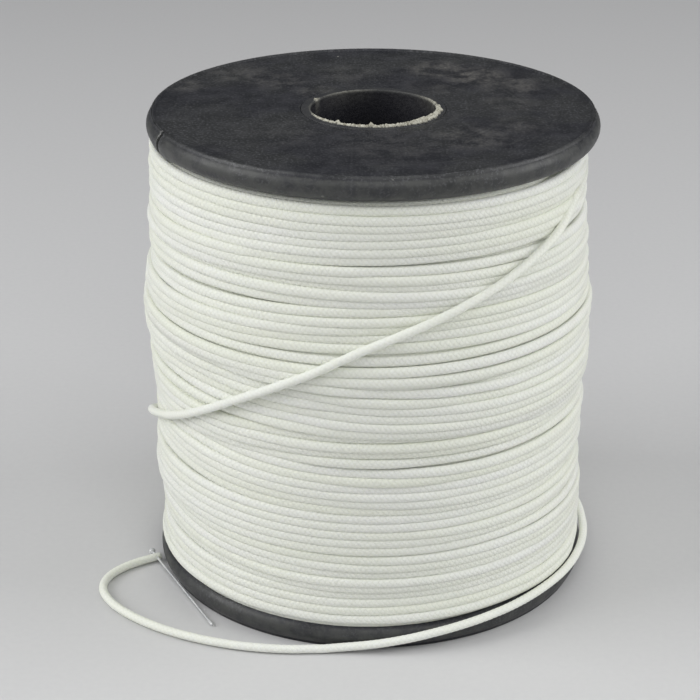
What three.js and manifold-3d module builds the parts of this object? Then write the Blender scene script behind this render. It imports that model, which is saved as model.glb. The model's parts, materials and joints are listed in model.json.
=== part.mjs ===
// A string reel: two round plastic flanges held on a hub tube by its flared ends, wound full of
// braided string. The outermost turn has come loose. It crosses down over the winding, slips
// over the bottom rim and lies on the table, with a headed nylon pin through its cut end.
// Millimetres, +Z up. The origin is on the reel's axis, halfway up.

import * as THREE from 'three';
import { mergeVertices } from 'three/addons/utils/BufferGeometryUtils.js';
import Module from 'manifold-3d';

const wasm = await Module();
wasm.setup();

// ---- driving dimensions ---------------------------------------------------------------------

const REEL_HEIGHT = 78.2; // over the raised edge lines of both flanges
const FLANGE_R = 36; // outside radius of the rounded rim
const RIM_T = 4.05; // thickness of the rounded rim
const WEB_T = 3; // thickness of the flange inside its rim
const FACE_SINK = 0.35; // flange face, below the edge line
const EDGE_LINE_R = 35.05; // middle of the raised edge line
const EDGE_LINE_W = 0.3;

const BORE_R = 10; // hole for a spindle
const NECK_R = 10.8; // hub tube where it passes through a flange
const BARREL_R = 15; // hub tube between the flanges
const LIP_R = 11.5; // flared end of the hub tube
const LIP_PROUD = 0.5; // upper lip, above the flange face
const LIP_FLAT = 0.2; // lower lip, pressed flatter, clear of the table

const SLIT_ANGLE = -157; // degrees from +X; where the string's end can be jammed
const SLIT_W = 0.9;
const SLIT_DEPTH = 2.6; // inward from the rim
const SLIT_SLANT = 14; // degrees off the reel's axis

const TAPE_T = 0.15; // strip that holds the string's first turn on the hub tube
const TAPE_W = 18;
const STRING_R = 0.665;
const FIT = 0.1; // gap between pieces that are fixed to each other
const CLEAR = 0.12; // gap between the loose turn and what it lies on

const PIN_HEAD = [-37.35, -5.8, 0.95]; // X, Y and height above the table
const PIN_TIP = [-25.35, -29, 0.36];
const PIN_SHAFT_R = 0.17;
const PIN_NECK_R = 0.25;
const PIN_HEAD_R = 0.55;
const PIN_TIP_R = 0.24;
const PIN_NECK_L = 3.6;
const PIN_TIP_L = 1.7;
const PIN_HOLE_R = 0.31; // through the string's end

const ROUND = 64; // facets round the reel
const STRING_FACETS = 8;
const PIN_FACETS = 12;

// Radius of the winding at heights above the table: the string was wound unevenly by machine
// and stands proudest a little above the middle.
const WINDING = [
  [0, 36], [3, 36], [5, 36], [10, 35.4], [18, 35.7], [32, 35.6], [40, 36.4], [47, 36.9], [54, 35.8],
  [62, 35.5], [70, 35.1], [78, 34.9],
];

// The loose string, by degrees clockwise from +X. First its height: it hugs the winding, slips
// over the rim and comes down to the table.
const LIE_Z = STRING_R + CLEAR;
const LOOSE_HEIGHT = [
  [22, 68.6], [30, 67.2], [45, 63.7], [60, 59.7], [82, 54.3], [94, 51.2],
  [106, 47.2], [120, 42.4], [134, 37.4], [148, 33], [160, 30.1], [172, 27.3], [182, 24.6], [192, 21.9],
  [204, 18.8], [220, 15.4], [240, 12.2], [270, 8.9], [300, 6.9], [325, 5.8], [350, 5.1], [365, 4.85],
  [380, 4.8], [392, 4.75], [405, 4.6], [429, 3.4], [440, 2.5], [451, 1.5], [459, 0.87], [466, LIE_Z],
  [474, LIE_Z], [528.6, LIE_Z],
];

// Then its distance from the axis, once it has left the rim: a hairpin, back to the rim.
const RIM_LAY_R = FLANGE_R + STRING_R + CLEAR;
const LEAVES_RIM = 450;
const FREE_REACH = [
  [440, RIM_LAY_R], [455, RIM_LAY_R], [462, 37.5], [469, 39], [478.5, 41.1], [488.5, 43.4],
  [498.5, 45.7], [507, 47.4], [513, 48.1], [517.7, 47.8], [521.7, 46.1], [524.9, 43.1], [526.9, 40],
  [528.2, 37.6], [528.6, 36.35],
];
const SWING_AT = 462; // where the free end bends away from the rim
const SWING_BALL_R = 0.8; // room in the loose turn for the free end's rounded start

// ---- materials ------------------------------------------------------------------------------

const blackPlastic = new THREE.MeshStandardMaterial({ color: 0x2b2c30, roughness: 0.5, metalness: 0 });
const hubPlastic = new THREE.MeshStandardMaterial({ color: 0x24252a, roughness: 0.6, metalness: 0 });
const whiteString = new THREE.MeshStandardMaterial({ color: 0xdfe2d6, roughness: 0.7, metalness: 0 });
const clearNylon = new THREE.MeshStandardMaterial({ color: 0xd9dbdc, roughness: 0.35, metalness: 0 });

// ---- helpers --------------------------------------------------------------------------------

const radians = THREE.MathUtils.degToRad;

// A smooth curve through [x, y] pairs: cubic between them, with slopes from their neighbours.
function smooth(pairs, x) {
  const last = pairs.length - 1;
  let i = 0;
  while (i < last - 1 && x > pairs[i + 1][0]) i += 1;
  const slope = (k) => {
    const a = pairs[Math.max(k - 1, 0)];
    const b = pairs[Math.min(k + 1, last)];
    return (b[1] - a[1]) / (b[0] - a[0]);
  };
  const [x0, y0] = pairs[i];
  const [x1, y1] = pairs[i + 1];
  const w = x1 - x0;
  const t = (x - x0) / w;
  const rise = y0 * (2 * t ** 3 - 3 * t ** 2 + 1) + y1 * (3 * t ** 2 - 2 * t ** 3);
  return rise + w * (slope(i) * (t ** 3 - 2 * t ** 2 + t) + slope(i + 1) * (t ** 3 - t ** 2));
}

// Vertices shared, so that the mesh is one closed body.
function welded(geometry) {
  const bare = geometry.clone();
  bare.deleteAttribute('normal');
  bare.deleteAttribute('uv');
  return mergeVertices(bare, 1e-5);
}

function toSolid(geometry) {
  const mesh = welded(geometry);
  const vertProperties = new Float32Array(mesh.attributes.position.array);
  const triVerts = new Uint32Array(mesh.index.array);
  return new wasm.Manifold(new wasm.Mesh({ numProp: 3, vertProperties, triVerts }));
}

function fromSolid(solid) {
  const mesh = solid.getMesh();
  const geometry = new THREE.BufferGeometry();
  geometry.setAttribute('position', new THREE.BufferAttribute(new Float32Array(mesh.vertProperties), 3));
  geometry.setIndex(new THREE.BufferAttribute(new Uint32Array(mesh.triVerts), 1));
  geometry.computeVertexNormals();
  return geometry;
}

// A closed outline of [radius, height] pairs, anticlockwise, turned about Z.
function turned(outline, facets = ROUND) {
  const points = outline.map(([r, z]) => new THREE.Vector2(r, z));
  if (outline[0][0] > 0) points.push(points[0].clone());
  const geometry = new THREE.LatheGeometry(points, facets);
  geometry.rotateX(Math.PI / 2);
  return welded(geometry);
}

// A round bar along a curve, closed at both ends.
function bar(curve, radius, steps, sides) {
  const section = new THREE.Shape();
  section.absarc(0, 0, radius, 0, 2 * Math.PI);
  const settings = { steps, curveSegments: sides / 2, bevelEnabled: false, extrudePath: curve };
  return welded(new THREE.ExtrudeGeometry(section, settings));
}

function named(name, geometry, material) {
  geometry.computeVertexNormals();
  const mesh = new THREE.Mesh(geometry, material);
  mesh.name = name;
  return mesh;
}

// ---- flanges --------------------------------------------------------------------------------

// The bottom flange's outline, from its hole outward along the outside face and back inside.
function flangeOutline() {
  const rimR = RIM_T / 2;
  const rimMiddle = FLANGE_R - rimR;
  const holeR = NECK_R + FIT;
  const lipSeatR = LIP_R + FIT;
  const outline = [
    [holeR, WEB_T + FACE_SINK],
    [holeR, FACE_SINK + 1.3],
    [lipSeatR, FACE_SINK + 0.2],
    [lipSeatR, FACE_SINK],
    [EDGE_LINE_R - EDGE_LINE_W, FACE_SINK],
    [EDGE_LINE_R - EDGE_LINE_W / 2, 0],
    [EDGE_LINE_R + EDGE_LINE_W / 2, 0],
  ];
  const rimSteps = 9;
  const rimStart = -52;
  for (let i = 0; i <= rimSteps; i += 1) {
    const a = radians(rimStart + ((90 - rimStart) * i) / rimSteps);
    outline.push([rimMiddle + rimR * Math.cos(a), rimR + rimR * Math.sin(a)]);
  }
  outline.push([rimMiddle - 1, RIM_T]);
  outline.push([rimMiddle - 2, WEB_T + FACE_SINK]);
  return outline;
}

// The cut through the rim that holds the string's end when the reel is put away.
function rimSlit() {
  const slit = new THREE.BoxGeometry(2 * SLIT_DEPTH, SLIT_W, 3 * RIM_T);
  slit.rotateX(radians(SLIT_SLANT));
  slit.translate(FLANGE_R, 0, RIM_T / 2);
  slit.rotateZ(radians(-SLIT_ANGLE));
  return toSolid(slit);
}

function flange(withSlit) {
  const body = toSolid(turned(flangeOutline()));
  return fromSolid(withSlit ? body.subtract(rimSlit()) : body);
}

// ---- hub tube -------------------------------------------------------------------------------

function hubTube() {
  const shoulder = WEB_T + FACE_SINK + FIT;
  const lipEnd = (proud) => [
    [NECK_R, shoulder],
    [NECK_R, FACE_SINK + 1.3],
    [LIP_R, FACE_SINK + 0.15],
    [LIP_R, FACE_SINK - proud / 2],
    [LIP_R - 0.4, FACE_SINK - proud],
    [BORE_R + 0.4, FACE_SINK - proud],
    [BORE_R, FACE_SINK],
  ];
  const lower = [[BARREL_R, shoulder], ...lipEnd(LIP_FLAT)];
  const upper = [[BARREL_R, shoulder], ...lipEnd(LIP_PROUD)].map(([r, z]) => [r, REEL_HEIGHT - z]);
  const outline = [...upper, ...lower.reverse()];
  return turned(outline, ROUND / 2);
}

// ---- string ---------------------------------------------------------------------------------

function startTape() {
  const inner = BARREL_R + FIT / 2;
  const low = (REEL_HEIGHT - TAPE_W) / 2;
  const outline = [
    [inner, low],
    [inner + TAPE_T, low],
    [inner + TAPE_T, low + TAPE_W],
    [inner, low + TAPE_W],
  ];
  return turned(outline, ROUND / 2);
}

function woundString() {
  const inner = BARREL_R + 2 * FIT + TAPE_T;
  const deep = WEB_T + FACE_SINK + FIT;
  const rimFace = RIM_T + FIT;
  const innerRimR = FLANGE_R - RIM_T / 2 - 2 - FIT;
  const outline = [
    [inner, deep],
    [innerRimR, deep],
    [innerRimR + 1, rimFace],
  ];
  const steps = 15;
  for (let i = 0; i <= steps; i += 1) {
    const z = rimFace + ((REEL_HEIGHT - 2 * rimFace) * i) / steps;
    outline.push([smooth(WINDING, z), z]);
  }
  outline.push([innerRimR + 1, REEL_HEIGHT - rimFace]);
  outline.push([innerRimR, REEL_HEIGHT - deep]);
  outline.push([inner, REEL_HEIGHT - deep]);
  return turned(outline);
}

// The middle of the loose string at so many degrees clockwise from +X.
function loosePoint(degrees) {
  const z = smooth(LOOSE_HEIGHT, degrees);
  const hugging = smooth(WINDING, z) + STRING_R + CLEAR;
  const r = degrees < LEAVES_RIM ? hugging : smooth(FREE_REACH, degrees);
  const a = radians(-degrees);
  return new THREE.Vector3(r * Math.cos(a), r * Math.sin(a), z);
}

function looseStretch(from, to, spacing) {
  const points = [];
  const count = Math.ceil((to - from) / spacing);
  for (let i = 0; i <= count; i += 1) points.push(loosePoint(from + ((to - from) * i) / count));
  return new THREE.CatmullRomCurve3(points);
}

// A ball where the free end bends away from the rim.
function swingBall(radius) {
  const ball = new THREE.SphereGeometry(radius, STRING_FACETS * 2, STRING_FACETS);
  ball.translate(...loosePoint(SWING_AT));
  return toSolid(ball);
}

function looseTurn() {
  const path = looseStretch(LOOSE_HEIGHT[0][0], SWING_AT, 7);
  return fromSolid(toSolid(bar(path, STRING_R, 104, STRING_FACETS)).subtract(swingBall(SWING_BALL_R)));
}

function freeEnd() {
  const last = FREE_REACH[FREE_REACH.length - 1][0];
  const body = toSolid(bar(looseStretch(SWING_AT, last, 1.5), STRING_R, 48, STRING_FACETS));
  const hole = toSolid(bar(new THREE.LineCurve3(...pinLine(-1, 6)), PIN_HOLE_R, 1, STRING_FACETS));
  return fromSolid(body.add(swingBall(STRING_R)).subtract(hole));
}

// ---- pin ------------------------------------------------------------------------------------

// The two ends of a stretch of the pin's centre line, at distances from the middle of its head.
function pinLine(from, to) {
  const head = new THREE.Vector3(...PIN_HEAD);
  const along = new THREE.Vector3(...PIN_TIP).sub(head).normalize();
  return [from, to].map((distance) => head.clone().addScaledVector(along, distance));
}

// A ball head, a thicker neck, a fine shaft and a thicker tip, turned about Z and then aimed.
function pin() {
  const head = new THREE.Vector3(...PIN_HEAD);
  const reach = new THREE.Vector3(...PIN_TIP).sub(head);
  const length = reach.length();
  const outline = [];
  const headSteps = 6;
  const neckAngle = Math.PI - Math.asin(PIN_NECK_R / PIN_HEAD_R);
  for (let i = 0; i <= headSteps; i += 1) {
    const a = (neckAngle * i) / headSteps;
    outline.push([PIN_HEAD_R * Math.sin(a), -PIN_HEAD_R * Math.cos(a)]);
  }
  outline.push([PIN_NECK_R, PIN_NECK_L * 0.6]);
  outline.push([PIN_SHAFT_R, PIN_NECK_L]);
  outline.push([PIN_SHAFT_R, length - PIN_TIP_L]);
  outline.push([PIN_TIP_R, length - PIN_TIP_L * 0.75]);
  outline.push([PIN_TIP_R, length - PIN_TIP_R]);
  outline.push([0, length]);
  const geometry = turned(outline, PIN_FACETS);
  const aim = new THREE.Quaternion().setFromUnitVectors(new THREE.Vector3(0, 0, 1), reach.normalize());
  geometry.applyQuaternion(aim);
  geometry.translate(...PIN_HEAD);
  return geometry;
}

// ---- the reel -------------------------------------------------------------------------------

const group = new THREE.Group();

const bottomFlange = named('bottom_flange', flange(false), blackPlastic);

const topFlange = named('top_flange', flange(true), blackPlastic);
topFlange.rotation.x = Math.PI;
topFlange.position.z = REEL_HEIGHT;

const hub = named('hub_tube', hubTube(), hubPlastic);
const tape = named('start_tape', startTape(), clearNylon);
const winding = named('wound_string', woundString(), whiteString);
const turn = named('loose_turn', looseTurn(), whiteString);
const end = named('free_end', freeEnd(), whiteString);
const tagPin = named('tag_pin', pin(), clearNylon);

group.add(bottomFlange, topFlange, hub, tape, winding, turn, end, tagPin);
group.position.z = -REEL_HEIGHT / 2;

export default group;
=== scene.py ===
import json
import math

import bmesh
import bpy
import numpy as np
from mathutils import Matrix, Quaternion, Vector


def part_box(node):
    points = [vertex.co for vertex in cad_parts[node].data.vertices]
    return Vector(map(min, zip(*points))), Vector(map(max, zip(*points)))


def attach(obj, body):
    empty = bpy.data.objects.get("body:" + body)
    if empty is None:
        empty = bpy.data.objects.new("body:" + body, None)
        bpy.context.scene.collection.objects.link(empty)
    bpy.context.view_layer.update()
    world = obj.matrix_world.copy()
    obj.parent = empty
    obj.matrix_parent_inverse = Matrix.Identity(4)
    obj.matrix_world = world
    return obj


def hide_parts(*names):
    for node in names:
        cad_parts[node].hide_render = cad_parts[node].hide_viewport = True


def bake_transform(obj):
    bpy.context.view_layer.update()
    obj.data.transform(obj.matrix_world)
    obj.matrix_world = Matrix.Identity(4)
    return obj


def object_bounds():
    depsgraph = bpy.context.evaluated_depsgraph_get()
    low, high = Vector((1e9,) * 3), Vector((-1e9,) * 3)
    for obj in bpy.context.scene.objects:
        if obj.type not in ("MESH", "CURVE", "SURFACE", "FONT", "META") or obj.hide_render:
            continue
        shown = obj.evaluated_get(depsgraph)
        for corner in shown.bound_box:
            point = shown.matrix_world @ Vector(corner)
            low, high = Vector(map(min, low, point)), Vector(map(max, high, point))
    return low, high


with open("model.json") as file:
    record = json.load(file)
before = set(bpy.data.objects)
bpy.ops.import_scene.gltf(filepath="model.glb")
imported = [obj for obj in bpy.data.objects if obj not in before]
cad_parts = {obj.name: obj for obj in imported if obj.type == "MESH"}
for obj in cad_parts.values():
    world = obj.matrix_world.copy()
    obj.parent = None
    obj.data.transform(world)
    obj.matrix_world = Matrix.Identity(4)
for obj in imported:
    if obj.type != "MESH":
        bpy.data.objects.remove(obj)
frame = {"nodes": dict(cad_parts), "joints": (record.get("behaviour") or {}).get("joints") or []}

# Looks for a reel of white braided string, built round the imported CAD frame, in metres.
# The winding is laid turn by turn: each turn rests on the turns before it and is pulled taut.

cad_low, cad_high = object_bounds()
MM = 0.001
TAU = 2 * math.pi

# ---- sizes ----


def node_points(node):
    """A CAD node's vertices, in metres."""
    mesh = frame["nodes"][node].data
    flat = np.zeros(len(mesh.vertices) * 3)
    mesh.vertices.foreach_get("co", flat)
    return flat.reshape(-1, 3)


flange_low, flange_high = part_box("top_flange")
TOP = flange_high.z  # the raised edge line of the top flange
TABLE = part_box("bottom_flange")[0].z
RIM_R = flange_high.x
RIM_T = flange_high.z - flange_low.z
BORE_R = np.hypot(*node_points("hub_tube")[:, :2].T).min()
STRING_R = 0.665 * MM
EDGE_LINE_R = 35.05 * MM
FACE_SINK = 0.35 * MM
WEB_T = 3 * MM
HUB_HOLE_R = 10.9 * MM
LIP_SEAT_R = 11.6 * MM
NECK_R = 10.8 * MM

# ---- the string's braid ----

PICK = 0.86 * MM  # length of one pick of the braid along the string
STRANDS = 4  # strands that run each way round the string
BRAID_DEPTH = 0.075 * MM

# ---- how the winding was laid ----

TURNS = 51
TURN_STEPS = 200
CONTACT_D = 1.3 * MM  # strings whose middles are closer than this in height press on each other
CROSSING_LIFT = 1.12 * MM  # how far a soft string rises where it crosses right over another
PROUD = 0.06 * MM  # tension lets no crossing stand further than this out of the winding
TYPICAL_SINK = 0.1 * MM  # most turns lie this much inside the winding's envelope
UNEVEN = 0.2 * MM  # some turns bed this much deeper than others
BED_DEPTH = 3.2 * STRING_R  # the turns are laid on a bed this far inside the winding's outside
CORE_DEPTH = 4.6 * STRING_R  # and a plain core behind them fills the gaps
PACE = 0.14  # how unevenly the turns are spaced, as a share of their spacing
DRIFT = 0.15 * MM  # how far a turn strays up and down
SQUARED = 9 * MM  # near the flanges, over this height, the turns lie squarer to the axis
LEAVING = math.radians(78)  # stretch of the last turn that comes down from the top flange
RISING = math.radians(20)  # stretch over which the string climbs onto the turns that it crosses
SUNK = 1.7 * STRING_R  # how deep among the turns the loose string starts
BURIED = 2.6 * STRING_R  # how deep in the core the hidden layer starts
LAP = 4 * MM  # the loose string and the winding run on inside each other this far
PRESSED = 2.3  # how square a string is pressed by its neighbours: 2 is an ellipse
PRESSED_WIDE = 1.24  # and how much wider than it is thick

# The winding isn't true: by height above the table, in millimetres, how much further it stands out
# on the left and less on the right, and how far its lowest turns have slumped out at the front.
OFF_CENTRE = [
    (4, 0.1), (10, 0.15), (15, 0.2), (20, 0.8), (26, 0.55), (30, 0.3), (34, 0.4), (40, 0.35),
    (47, 0.6), (55, 0.65), (62, 0.8), (68, 0.95), (74, 0.7),
]
SLUMP = [(4, 0.35), (7, 0.2), (11, 0)]
LOW_INSET = [(4, 0.35), (9, 0)]
LIFTED = 0.9 * MM  # the lowest turns lie this much higher on the right, clear of the loose string

# Bands of turns from the bottom up. Each was laid with its own lean: turns in the band, lean in
# millimetres, the side that is high, then a ripple of two waves a turn and where it crests.
# Sides are in degrees clockwise from +X: 0 right, 90 front, 180 left.
BANDS = [
    (5, 0.2, 40, 0.1, 60),
    (5, 0.7, 190, 0.3, 30),
    (5, 0.3, 20, 0.2, 140),
    (6, 0.9, 175, 0.4, 10),
    (4, 0.3, 250, 0.4, 80),
    (6, 1.1, 170, 0.5, 150),
    (3, 0.4, 60, 0.3, 20),
    (5, 0.9, 50, 0.3, 70),
    (4, 0.3, 80, 0.4, 120),
    (5, 0.8, 45, 0.2, 60),
    (3, 0.2, 120, 0.2, 0),
]


# ---- mesh helpers ----


def mesh_object(name, points, faces, smooth=True):
    mesh = bpy.data.meshes.new(name)
    mesh.from_pydata(np.asarray(points).tolist(), [], faces)
    mesh.polygons.foreach_set("use_smooth", [smooth] * len(mesh.polygons))
    made = bpy.data.objects.new(name, mesh)
    bpy.context.scene.collection.objects.link(made)
    return made


def grid_faces(rows, columns):
    """Quads over rows of points, as arrays. The last point of each row joins the first."""
    row = np.arange(rows - 1)[:, None] * columns
    column = np.arange(columns)[None, :]
    beside = (column + 1) % columns
    quads = [row + column, row + beside, row + columns + beside, row + columns + column]
    return np.stack(quads, -1).reshape(-1, 4)


def ring_faces(rows, columns):
    """Quads over rows of points where the last row joins the first too."""
    return grid_faces(rows + 1, columns) % (rows * columns)


def turned_object(name, outline, segments):
    """A closed outline of [radius, height] pairs, anticlockwise, turned about Z."""
    outline = np.asarray(outline)
    angle = np.arange(segments)[:, None] / segments * TAU
    radius, height = outline[:, 0][None], outline[:, 1][None]
    points = np.stack([radius * np.cos(angle), radius * np.sin(angle), height + 0 * angle], -1)
    faces = ring_faces(segments, len(outline))
    return mesh_object(name, points.reshape(-1, 3), faces.tolist())


def weld(made):
    """Joins points that lie on each other, and drops the faces that this leaves without area."""
    shell = bmesh.new()
    shell.from_mesh(made.data)
    bmesh.ops.remove_doubles(shell, verts=shell.verts, dist=1e-7)
    bmesh.ops.dissolve_degenerate(shell, edges=shell.edges, dist=1e-7)
    shell.to_mesh(made.data)
    shell.free()


def unit(vectors):
    return vectors / np.linalg.norm(vectors, axis=-1, keepdims=True)


def smooth_step(share):
    """Eased from 0 to 1 as share goes from 0 to 1."""
    share = np.clip(share, 0, 1)
    return share**2 * (3 - 2 * share)


def braid_height(along, around):
    """0 to 1: how far the braid stands out, at distances along the string and turns around it.
    Strands that run one way are over those that run the other, then under them, in turn."""
    one = np.sin(math.pi * (STRANDS * around + along / PICK))
    other = np.sin(math.pi * (STRANDS * around - along / PICK))
    on_top = np.clip(3 * one * other, -1, 1)
    return np.abs(one) ** 0.6 * (0.5 + 0.5 * on_top) + np.abs(other) ** 0.6 * (0.5 - 0.5 * on_top)


def pressed(around):
    """Distances of a wound string's skin from its middle, as shares of its radius."""
    turn = TAU * around
    across, over = np.abs(np.sin(turn)) / PRESSED_WIDE, np.abs(np.cos(turn))
    return (across**PRESSED + over**PRESSED) ** (-1 / PRESSED)


def cord(name, middle, outward, around, start=0.0, depth=0.0, shape=1.0):
    """A string along a line of points. around holds the turns, 0 to 1, at which its skin has
    points. shape scales its radius along the line, round the skin or both. depth is the braid's."""
    ahead = unit(np.gradient(middle, axis=0))
    side = unit(np.cross(ahead, outward))
    out = np.cross(side, ahead)
    steps = np.linalg.norm(np.diff(middle, axis=0), axis=1)
    along = start + np.concatenate([[0], np.cumsum(steps)])
    turn = TAU * around[None, :, None]
    reach = STRING_R * np.ones((len(middle), len(around))) * shape
    if depth:
        reach = reach + depth * (braid_height(along[:, None], around[None, :]) - 0.7)
    towards = np.cos(turn) * out[:, None] + np.sin(turn) * side[:, None]
    points = middle[:, None] + reach[..., None] * towards
    sides = len(around)
    faces = grid_faces(len(middle), sides).tolist()
    faces.append(list(range(sides)))
    last = (len(middle) - 1) * sides
    faces.append([last + sides - 1 - i for i in range(sides)])
    made = mesh_object(name, points.reshape(-1, 3), faces)
    add_braid_map(made, along, around)
    return made


def add_braid_map(made, along, around):
    """UVs for the braid's shader: metres along the string, and turns around it."""
    sides = len(around)
    after = np.append(around[1:], around[0] + 1)
    rings = len(along)
    u = np.stack([along[:-1], along[:-1], along[1:], along[1:]], -1)
    v = np.stack([around, after, after, around], -1)
    pairs = np.zeros((rings - 1, sides, 4, 2))
    pairs[..., 0] = u[:, None]
    pairs[..., 1] = v[None]
    ends = np.zeros((2 * sides, 2))
    layer = made.data.uv_layers.new(name="braid")
    layer.data.foreach_set("uv", np.concatenate([pairs.reshape(-1, 2), ends]).ravel())


# ---- the winding ----


def winding_envelope():
    """Heights, and the outside radius that the winding may reach at each."""
    points = node_points("wound_string")
    height = np.round(points[:, 2], 6)
    reach = np.hypot(points[:, 0], points[:, 1])
    levels = np.unique(height)
    radius = np.array([reach[height == level].max() for level in levels])
    outside = radius > RIM_R - RIM_T
    return levels[outside], radius[outside]


LEVELS, ENVELOPE = winding_envelope()


def off_centre(height, clock):
    """How far the winding is out of true at heights and angles: out on the left, in on the right."""
    off = np.interp((height - TABLE) / MM, *zip(*OFF_CENTRE)) * MM
    return -off * np.cos(clock) ** 3


def outside(height, clock):
    """The winding's outside radius at heights and angles."""
    above = (height - TABLE) / MM
    slump = np.interp(above, *zip(*SLUMP)) * MM
    inset = np.interp(above, *zip(*LOW_INSET)) * MM
    front = np.clip(np.sin(clock), 0, 1) ** 0.7
    true = np.interp(height, LEVELS, ENVELOPE)
    return true + off_centre(height, clock) + front * slump - (1 - front) * inset


def seats(clock):
    """The lowest and highest that a string can lie, resting on the rounded rims of the flanges."""
    bead = RIM_T / 2
    reach = bead + STRING_R + 0.03 * MM
    limits = []
    for edge, way in ((TABLE, 1), (TOP, -1)):
        out = outside(edge + way * RIM_T, clock) - STRING_R - (RIM_R - bead)
        limits.append(edge + way * (bead + np.sqrt(reach**2 - np.clip(out, 0, 0.8 * reach) ** 2)))
    return limits


def lifted(height, clock):
    """Heights of steps of the winding, with the lowest ones raised on the right."""
    fade = np.exp(-np.maximum(height - TABLE - RIM_T, 0) / (6 * MM))
    return height + LIFTED * np.clip(np.cos(clock - math.radians(10)), 0, 1) * fade


def blurred(values, passes):
    """Each value drawn towards its neighbours, again and again."""
    for _ in range(passes):
        padded = np.concatenate([values[:1], values, values[-1:]])
        values = (padded[:-2] + 2 * padded[1:-1] + padded[2:]) / 4
    return values


def wander(rng, knots_per_turn, size):
    """A smooth random drift along all the turns of the string."""
    count = int(TURNS * knots_per_turn) + 2
    knots = rng.normal(0, size, count)
    steps = np.arange(TURNS * TURN_STEPS) / TURN_STEPS * knots_per_turn
    return blurred(np.interp(steps, np.arange(count), knots), 40)


def band_lean(clock):
    """How far each step of the layer is raised by its band's lean and ripple."""
    edges = np.cumsum([0] + [band[0] for band in BANDS])
    turn = np.arange(len(clock)) / TURN_STEPS
    blend = 0.7
    raised = np.zeros(len(clock))
    knots = [0.0]
    for edge in edges[1:-1]:
        knots += [edge - blend, edge + blend]
    knots.append(edges[-1])
    for waves, size, crest in ((1, 1, 2), (2, 3, 4)):
        lean = [band[size] * MM * np.exp(1j * waves * math.radians(band[crest])) for band in BANDS]
        pairs = np.repeat(lean, 2)
        value = np.interp(turn, knots, pairs.real) + 1j * np.interp(turn, knots, pairs.imag)
        raised += (value * np.exp(-1j * waves * clock)).real
    return raised


def layer_heights(rng, clock, first, last, lean):
    """Height of every step of a layer, from first to last."""
    share = np.linspace(0, 1, len(clock))
    pace = blurred(rng.normal(0, 1, TURNS + 1), 1)
    pitch = np.interp(share * TURNS, np.arange(TURNS + 1), 1 + PACE * pace)
    climb = np.cumsum(pitch)
    climb = (climb - climb[0]) / (climb[-1] - climb[0])
    height = first + (last - first) * climb
    near = (np.abs(last - first) / 2 - np.abs(height - (first + last) / 2)) / SQUARED
    room = np.clip(near, 0, 1) ** 0.7
    return height + room * (lean + wander(rng, 5, DRIFT))


def come_down(height, last, slope):
    """The last stretch of a layer eased down to a height, where it has a slope in metres a radian."""
    count = round(LEAVING / TAU * TURN_STEPS)
    t = np.arange(1, count + 1) / count
    top = height[-count - 1]
    eased = top + (last - top) * (3 * t**2 - 2 * t**3) + slope * LEAVING * (t**3 - t**2)
    return np.append(height[:-count], eased)


def contact_radius(height, radius_below, passes):
    """The least middle radius at which a string clears the string that was laid before it."""
    least = radius_below.copy()
    for other_height, other_radius in passes:
        gap = 1 - ((height - other_height) / CONTACT_D) ** 2
        over = other_radius + CROSSING_LIFT * np.maximum(gap, 0) ** 1.2
        least = np.where(gap > 0, np.maximum(least, over), least)
    return least


def pulled_taut(radius):
    """A taut string spans straight from high spot to high spot, as a chord of the reel."""
    step = TAU / TURN_STEPS
    sag = RIM_R * (np.arange(len(radius)) * step) ** 2 / 2
    level = radius - sag
    hull = []
    for i, value in enumerate(level):
        while len(hull) > 1:
            (a, at_a), (b, at_b) = hull[-2], hull[-1]
            if (at_b - at_a) * (i - b) > (value - at_b) * (b - a):
                break
            hull.pop()
        hull.append((i, value))
    where, values = zip(*hull)
    return np.interp(np.arange(len(radius)), where, values) + sag


def lay(height, floor_radius, passes):
    """Lays one layer, turn by turn, and returns the middle radius of every step."""
    ahead = TURN_STEPS // 4
    laid = []
    radius = np.zeros(len(height))
    for turn in range(len(height) // TURN_STEPS):
        here = slice(turn * TURN_STEPS, (turn + 1) * TURN_STEPS)
        own = contact_radius(height[here], floor_radius[here], passes + laid)
        after = slice(here.stop, min(here.stop + ahead, len(height)))
        count = after.stop - after.start
        known = [(h[:count], r[:count]) for h, r in passes + laid + [(height[here], own)]]
        coming = contact_radius(height[after], floor_radius[after], known)
        before = radius[max(0, here.start - ahead):here.start]
        taut = pulled_taut(np.concatenate([before, own, coming]))
        radius[here] = taut[len(before):len(before) + TURN_STEPS]
        laid.append((height[here], radius[here]))
    return blurred(radius, 3)


def as_passes(height, radius):
    return list(zip(height.reshape(-1, TURN_STEPS), radius.reshape(-1, TURN_STEPS)))


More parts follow.
